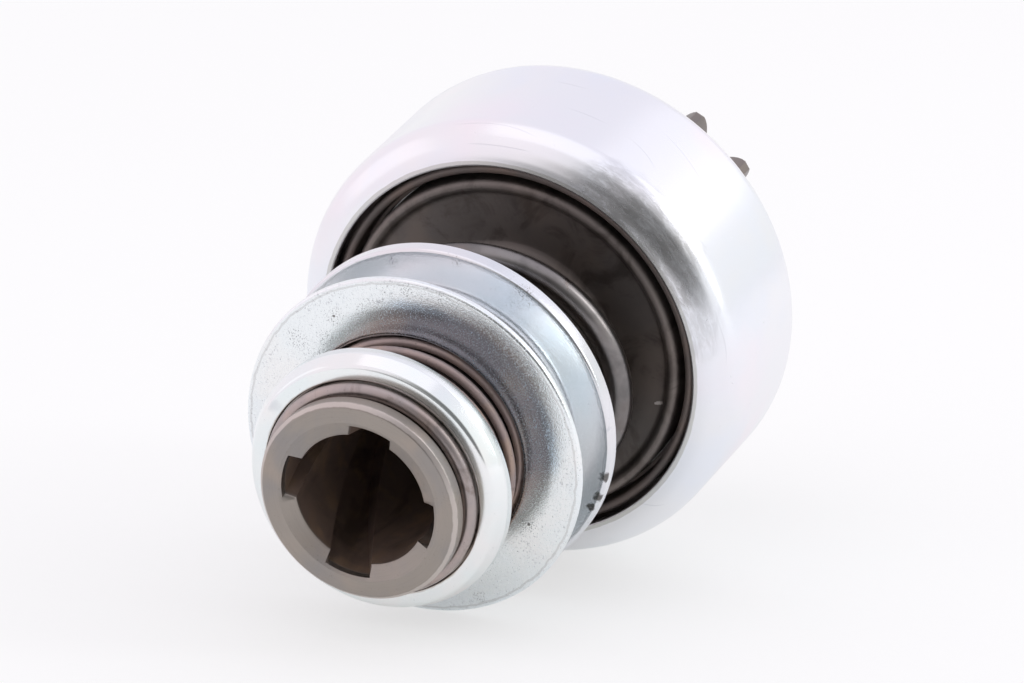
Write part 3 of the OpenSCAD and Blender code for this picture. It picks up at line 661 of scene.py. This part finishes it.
# Buffer spring: heavy open coil between the spool and the driver disc
bufferShape = {"mean": 19.7, "wire": 2.0, "phase": 133.6, "places": [0.0, 360.0, 590.0, 640.0],
    "stations": [33.85, 38.75, 52.25, 52.25], "step": 4.0, "soften": 15, "sides": 28}
bufferLook = dict(lockLook, base=(0.25, 0.235, 0.23, 1), cool=(0.155, 0.148, 0.146, 1),
    warm=(0.195, 0.172, 0.165, 1), oilAmount=0.3, rough=0.25, roughSwing=0.1, cloudScale=120.0,
    metallic=1.0)
bufferPlace = np.arange(0.0, bufferShape["places"][-1] + 1.0, bufferShape["step"])
kernel = np.hanning(bufferShape["soften"])   # softens the bends of the rise
kernel /= kernel.sum()
bufferStation = np.interp(bufferPlace, bufferShape["places"], bufferShape["stations"])
padded = np.pad(bufferStation, bufferShape["soften"] // 2, mode="edge")
bufferStation = np.convolve(padded, kernel, mode="valid")
bufferCoil = wirePiece("buffer_coil", bufferShape["mean"], bufferShape["wire"],
    np.radians(bufferShape["phase"] + bufferPlace), bufferStation, bufferShape["sides"])
finishPiece(bufferCoil, None, "dark_spring", wireFinish("bufferWire", bufferLook), "buffer_spring")
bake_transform(bufferCoil)
print("sleeve, rings and springs ready")

# Pinion: involute teeth on a neck, with the clutch's inner race behind
pinionShape = {"teeth": 11, "module": 2.75, "shift": 0.23, "pressure": 20.0, "phase": 14.1,
    "dedendum": 1.25,
    "corners": [(9.6, 62.6), (14.6, 62.6), (14.6, 75.9), (13.1, 75.9), (13.1, 83.4), (18.6, 83.4),
        (18.6, 106.0), (9.6, 106.0)],
    "radii": [0.3, 0.5, 0.2, 0.3, 0.4, 0.8, 1.3, 0.4], "steps": 5, "longest": 3.0, "toothFrom": 83.3,
    "flankPoints": 9, "rootPoints": 4, "rootTurn": 0.035, "filletTurn": 0.006, "filletRise": 0.45,
    "tipBreak": 0.12, "tipTurn": 0.008, "sharp": 34}


def pinionGrid(shape):
    # radius = the lower of the turned profile and the tooth outline; the outline's flank is an involute,
    # angle(r) = half tooth + inv(pressure) - inv(acos(base / r))
    count, size = shape["teeth"], shape["module"]
    pitch, pressure = size * count / 2, math.radians(shape["pressure"])
    base, tip = pitch * math.cos(pressure), pitch + size * (1 + shape["shift"])
    root = pitch - size * (shape["dedendum"] - shape["shift"])
    flank = np.linspace(base, tip - shape["tipBreak"], shape["flankPoints"])
    roll = np.arccos(base / flank)
    halfTooth = math.pi / (2 * count) + 2 * shape["shift"] * math.tan(pressure) / count
    spread = halfTooth + math.tan(pressure) - pressure - (np.tan(roll) - roll)
    rootSpread = np.linspace(math.pi / count, spread[0] + shape["rootTurn"], shape["rootPoints"])
    side = np.concatenate([rootSpread, [spread[0] + shape["filletTurn"]], spread,
        [spread[-1] - shape["tipTurn"]]])
    high = np.concatenate([np.full(shape["rootPoints"], root), [root + shape["filletRise"]], flank, [tip]])
    oneAngle = np.concatenate([-side, side[::-1][:-1]])
    oneRadius = np.concatenate([high, high[::-1][:-1]])
    middles = math.radians(shape["phase"]) + 2 * np.pi * np.arange(count) / count
    angle = (middles[:, None] + oneAngle[None, :]).reshape(1, -1)
    outline = np.tile(oneRadius, count)[None, :]
    profile = fillIn(roundCorners(shape["corners"], shape["radii"], shape["steps"]), shape["longest"])
    radius, station = profile[:, 0:1], profile[:, 1:2]
    radius = np.where(station > shape["toothFrom"], np.minimum(radius, outline), radius)
    return around(station + 0 * angle, radius, angle), len(profile), angle.shape[1]


pinionLook = dict(lockLook, metallic=1.0, base=(0.22, 0.2, 0.19, 1), cool=(0.19, 0.18, 0.175, 1),
    warm=(0.25, 0.215, 0.19, 1), cloudScale=80.0, oilAmount=0.4, rough=0.3, bump=0.2)
pinionPoints, pinionRows, pinionColumns = pinionGrid(pinionShape)
pinion = makePiece("pinion_forging", pinionPoints, gridFaces(pinionRows, pinionColumns),
    sharp=pinionShape["sharp"])
finishPiece(pinion, "pinion", "gear_steel", wireFinish("pinionSteel", pinionLook), "pinion_gear")
print("pinion ready")

# Plunger springs: fine coils from a plunger's shoulder to the end of its bore
plungerShape = {"mean": 1.505, "wire": 0.28, "turns": 5.0, "rows": 141, "sides": 10, "blend": 0.9}
plungerLook = dict(lockLook, cloudScale=300.0)
plungerWire = wireFinish("plungerWire", plungerLook)
for k in range(1, 5):
    low, high = (np.array(corner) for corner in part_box(f"plunger_spring_{k}"))
    middle = (low + high) / 2
    line = int(np.argmax(high - low))
    way = np.zeros(3)
    way[line] = np.sign(middle[line] - np.mean(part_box(f"plunger_{k}"), axis=0)[line])
    half = (high - low)[line] / 2 / mm - plungerShape["wire"]
    winding = np.linspace(0, 1, plungerShape["rows"])
    coil = wirePiece(f"plunger_coil_{k}", plungerShape["mean"], plungerShape["wire"],
        2 * np.pi * plungerShape["turns"] * winding, half * (2 * winding - 1), plungerShape["sides"],
        np.stack([way, np.cross((1, 0, 0), way), (1, 0, 0)]), middle / mm)
    finishPiece(coil, None, "spring_steel", plungerWire, f"plunger_spring_{k}")
    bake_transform(coil)

# Inner pieces keep their CAD shape and get their own finishes
innerLooks = {
    "groundSteel": (dict(pinionLook, base=(0.46, 0.45, 0.44, 1), rough=0.22, oilAmount=0.3),
        ["cam_ring", "spacer_ring", "half_ring_1", "half_ring_2"] + [f"plunger_{k}" for k in range(1, 5)]),
    "rollerSteel": (dict(pinionLook, base=(0.6, 0.6, 0.6, 1), rough=0.14, oilAmount=0.15),
        [f"roller_{k}" for k in range(1, 5)]),
    "bushBronze": (dict(pinionLook, base=(0.56, 0.4, 0.2, 1), cool=(0.5, 0.36, 0.2, 1),
        warm=(0.6, 0.42, 0.2, 1), pit=(0.2, 0.13, 0.06, 1), grainAmount=0.6),
        ["spool_guide_bush", "race_bush", "nose_bush"]),
}
for name, (look, nodes) in innerLooks.items():
    finish = wireFinish(name, look)
    for node in nodes:
        setMaterial(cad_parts[node], finish)


def feltFinish(look):
    # pressed felt: pale fibres on a dark drifting base, no metal
    material, tree, shader = newMaterial("sealFelt", 0.0)
    tint = driftTint(tree, look)
    fibres = useGroup(tree, grains, Scale=look["fibreScale"], Amount=1.0)["Mask"]
    colour = blendColour(tree, times(tree, fibres, look["fibreBlend"]), tint["Color"], look["fibre"])
    tree.links.new(colour, shader.inputs["Base Color"])
    rough = plus(tree, look["rough"], times(tree, tint["Cloud"], look["roughSwing"]))
    feed(tree, rough, shader.inputs["Roughness"])
    setBump(tree, shader, plus(tree, tint["Cloud"], fibres), look["bump"], look["bumpHeight"])
    return material


feltLook = {"base": (0.1, 0.095, 0.09, 1), "cool": (0.07, 0.07, 0.07, 1), "warm": (0.13, 0.115, 0.1, 1),
    "cloudScale": 600.0, "fibre": (0.2, 0.19, 0.18, 1), "fibreScale": 3000.0, "fibreBlend": 0.5,
    "rough": 0.82, "roughSwing": 0.1, "bump": 0.5, "bumpHeight": 0.0001}
setMaterial(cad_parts["dust_seal"], feltFinish(feltLook))
print("inner pieces ready")

# Stage: the part lies on its spool rim and its shell, so the floor slopes in the part's own frame
stage = {"slope": 0.2076, "at": (19.2, -26.05), "front": -120.0, "size": 6.0,
    "colour": (0.965, 0.98, 0.973, 1), "cloud": (0.92, 0.92, 0.92, 1), "cloudScale": 3.0, "rough": 0.9,
    "fill": 0.6, "mirrorFill": 0.35}


def makeFloor(look):
    # a flat sheet through the two rims' lowest points, cut off before the camera: z = z0 - slope (x - x0)
    x0, z0 = (value * mm for value in look["at"])
    reach = np.array([-1.0, 1.0]) * look["size"] / 2
    x, y = np.meshgrid(np.array([look["front"] * mm, x0 + reach[1]]), reach, indexing="ij")
    points = np.stack([x, y, z0 - look["slope"] * (x - x0)], -1).reshape(-1, 3)
    mesh = bpy.data.meshes.new("floor_sheet")
    mesh.from_pydata(points.tolist(), [], [[0, 2, 3, 1]])
    floor = bpy.data.objects.new("floor_sheet", mesh)
    bpy.context.scene.collection.objects.link(floor)
    material = bpy.data.materials.new("floorPaper")
    material.use_nodes = True
    tree = material.node_tree
    output = tree.nodes["Material Output"]
    shader = tree.nodes["Principled BSDF"]
    shader.inputs["Roughness"].default_value = look["rough"]
    cloud = noise(tree, put(tree, "TexCoord").outputs["Object"], look["cloudScale"], 2.0)
    tree.links.new(blendColour(tree, cloud, look["colour"], look["cloud"]), shader.inputs["Base Color"])
    glow = put(tree, "Emission")
    glow.inputs["Strength"].default_value = 1.0
    mix, hide = put(tree, "MixShader"), put(tree, "MixShader")
    path = put(tree, "LightPath")
    mirrored = calc(tree, "MAXIMUM", path.outputs["Is Glossy Ray"], path.outputs["Is Transmission Ray"])
    seen = calc(tree, "MAXIMUM", times(tree, path.outputs["Is Camera Ray"], look["fill"]),
        times(tree, mirrored, look["mirrorFill"]))
    tree.links.new(seen, mix.inputs[0])
    tree.links.new(shader.outputs[0], mix.inputs[1])
    tree.links.new(glow.outputs[0], mix.inputs[2])
    tree.links.new(put(tree, "NewGeometry").outputs["Backfacing"], hide.inputs[0])
    tree.links.new(mix.outputs[0], hide.inputs[1])
    tree.links.new(put(tree, "BsdfTransparent").outputs[0], hide.inputs[2])
    tree.links.new(hide.outputs[0], output.inputs["Surface"])
    mesh.materials.append(material)


makeFloor(stage)

# World: white to the eye; as light and in the metal, a pale room with faint tints, grey behind the camera
# and low beyond the floor's front edge. A fade is the range of the cosine over which a tint comes in.
room = {"walls": (0.97, 0.965, 0.97, 1), "white": (1, 1, 1, 1), "up": (0.409, 0.101, 0.907),
    "above": (0.9, 0.875, 0.97, 1), "aboveFade": (0.2, 0.9),
    "below": (0.9, 0.94, 0.93, 1), "belowFade": (-0.2, -0.8),
    "pink": (0.985, 0.91, 0.965, 1), "pinkSide": (-0.224, 0.883, 0.412), "pinkFade": (0.2, 0.8),
    "grey": (0.19, 0.19, 0.193, 1), "greySide": (-0.82, -0.5, 0.28), "greyFade": (0.68, 0.94),
    "lowSide": (-0.997, 0.033, -0.046), "lowFade": (0.89, 0.97, 0.0, 0.9), "light": 1.0}
world = bpy.data.worlds.new("studioRoom")
bpy.context.scene.world = world
world.use_nodes = True
tree = world.node_tree
path = put(tree, "LightPath")
direction = put(tree, "TexCoord").outputs["Generated"]


def alongWay(vector):
    node = put(tree, "VectorMath", operation="DOT_PRODUCT")
    feed(tree, direction, node.inputs[0])
    feed(tree, vector, node.inputs[1])
    return node.outputs["Value"]


height = alongWay(room["up"])
tint = blendColour(tree, remap(tree, height, *room["aboveFade"]), room["walls"], room["above"])
tint = blendColour(tree, remap(tree, height, *room["belowFade"]), tint, room["below"])
tint = blendColour(tree, remap(tree, alongWay(room["pinkSide"]), *room["pinkFade"]), tint, room["pink"])
shade = calc(tree, "MAXIMUM", remap(tree, alongWay(room["greySide"]), *room["greyFade"]),
    remap(tree, alongWay(room["lowSide"]), *room["lowFade"]))
tint = blendColour(tree, shade, tint, room["grey"])
seen = path.outputs["Is Camera Ray"]
shown = calc(tree, "MAXIMUM", seen, calc(tree, "MAXIMUM", path.outputs["Is Glossy Ray"],
    path.outputs["Is Transmission Ray"]))
background = tree.nodes["Background"]
tree.links.new(blendColour(tree, seen, tint, room["white"]), background.inputs["Color"])
tree.links.new(calc(tree, "MAXIMUM", shown, room["light"]), background.inputs["Strength"])


def softBox(name, place, aim, size, power):
    lamp = bpy.data.lights.new(name, "AREA")
    lamp.shape, lamp.size, lamp.size_y, lamp.energy = "RECTANGLE", size[0], size[1], power
    lampObject = bpy.data.objects.new(name, lamp)
    back = np.array(place, float) - np.array(aim, float)
    back /= np.linalg.norm(back)
    side = np.cross((0.0, 1.0, 0.0) if abs(back[2]) > 0.9 else (0.0, 0.0, 1.0), back)
    side /= np.linalg.norm(side)
    turn = np.eye(4)
    turn[:3, 0], turn[:3, 1], turn[:3, 2], turn[:3, 3] = side, np.cross(back, side), back, place
    lampObject.matrix_world = Matrix(turn.tolist())
    bpy.context.scene.collection.objects.link(lampObject)


# soft boxes: place, aim, size in metres and power in watts
lamps = {
    "overheadBox": ((0.1, 0.0, 0.9), (0.05, 0, 0), (0.9, 0.9), 0.45),
    "rightBox": ((0.317, -0.782, 0.33), (0.045, 0, 0), (0.2, 0.55), 1.3),
    "farBox": ((0.59, -0.585, 0.414), (0.05, 0, 0), (0.4, 0.45), 0.35),
    "backBox": ((0.8, -0.4, 0.42), (0.06, 0, 0), (0.6, 0.6), 0.15),
    "leftBox": ((-0.1, 0.8, 0.35), (0.05, 0, 0), (0.5, 0.5), 0.1),
}
for name, values in lamps.items():
    softBox(name, *values)
print("stage and lights ready")

# Camera, fitted to the rims in the photograph: where the sleeve's end is and how the part's axes run
view = {"end": (-21.717, 22.561, 1078.77), "alongX": (0.40526, -0.40940, 0.81741),
    "alongZ": (-0.0812, -0.9067, -0.4139), "focal": 7712.0, "imageWidth": 1024.0, "sensor": 36.0,
    "clip": (0.01, 50.0)}
axisX = np.array(view["alongX"]) / np.linalg.norm(view["alongX"])
axisZ = np.array(view["alongZ"]) - np.dot(view["alongZ"], axisX) * axisX
axisZ /= np.linalg.norm(axisZ)
axes = np.stack([axisX, np.cross(axisZ, axisX), axisZ])   # rows: part axes seen as right, down, forward
stand = np.eye(4)
stand[:3, 0], stand[:3, 1], stand[:3, 2] = axes[:, 0], -axes[:, 1], -axes[:, 2]
stand[:3, 3] = -axes @ np.array(view["end"]) * mm
lens = bpy.data.cameras.new("photoCamera")
lens.sensor_fit, lens.sensor_width = "HORIZONTAL", view["sensor"]
lens.lens = view["focal"] / view["imageWidth"] * view["sensor"]
lens.clip_start, lens.clip_end = view["clip"]
camera = bpy.data.objects.new("photoCamera", lens)
camera.matrix_world = Matrix(stand.tolist())
bpy.context.scene.collection.objects.link(camera)
bpy.context.scene.camera = camera
bpy.context.scene.view_settings.view_transform = "Standard"
print("camera ready")
